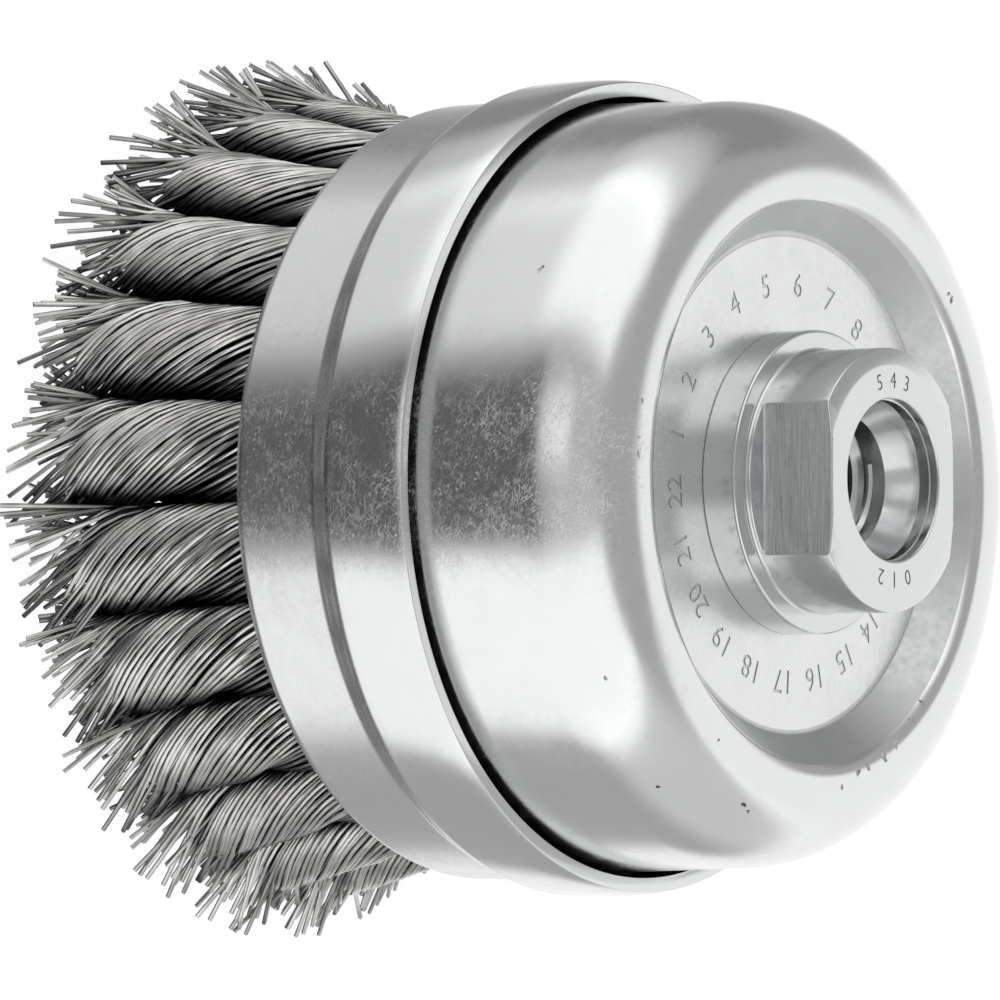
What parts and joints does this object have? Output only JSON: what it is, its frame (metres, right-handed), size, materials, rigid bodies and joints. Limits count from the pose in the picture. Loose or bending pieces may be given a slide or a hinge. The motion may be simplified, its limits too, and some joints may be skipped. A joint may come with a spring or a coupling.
{
  "type": "wire cup brush",
  "caption": "Steel cup brush for an angle grinder: drawn cup with pressed support ring, threaded bush with wrench flats, and a circle of twisted wire knots with splayed tips.",
  "frame": {"origin": "centre of the circle of wire tips, at the level that the lowest tips stand on", "axes": "+Z along the brush's axis towards the threaded bush; the wrench flats face +Y and -Y"},
  "size_m": [0.0926, 0.0926, 0.0789],
  "materials": {
    "zinc_plated_steel": "bright zinc plating, lightly scuffed",
    "ring_zinc_plated_steel": "bright zinc plating, lightly scuffed",
    "turned_zinc_plated_steel": "turned and zinc plated, milled wrench flats",
    "pressed_steel": "plain pressed steel",
    "drawn_steel_wire": "bright drawn wire"
  },
  "bodies": {
    "root": {"cup_shell": "zinc_plated_steel", "support_ring": "ring_zinc_plated_steel", "hub": "turned_zinc_plated_steel", "knot_plate": "pressed_steel", "knot_01": "drawn_steel_wire", "knot_02": "drawn_steel_wire", "knot_03": "drawn_steel_wire", "knot_04": "drawn_steel_wire", "knot_05": "drawn_steel_wire", "knot_06": "drawn_steel_wire", "knot_07": "drawn_steel_wire", "knot_08": "drawn_steel_wire", "knot_09": "drawn_steel_wire", "knot_10": "drawn_steel_wire", "knot_11": "drawn_steel_wire", "knot_12": "drawn_steel_wire", "knot_13": "drawn_steel_wire", "knot_14": "drawn_steel_wire", "knot_15": "drawn_steel_wire", "knot_16": "drawn_steel_wire", "knot_17": "drawn_steel_wire", "knot_18": "drawn_steel_wire", "knot_19": "drawn_steel_wire", "knot_20": "drawn_steel_wire", "knot_21": "drawn_steel_wire", "knot_22": "drawn_steel_wire"}
  },
  "joints": []
}
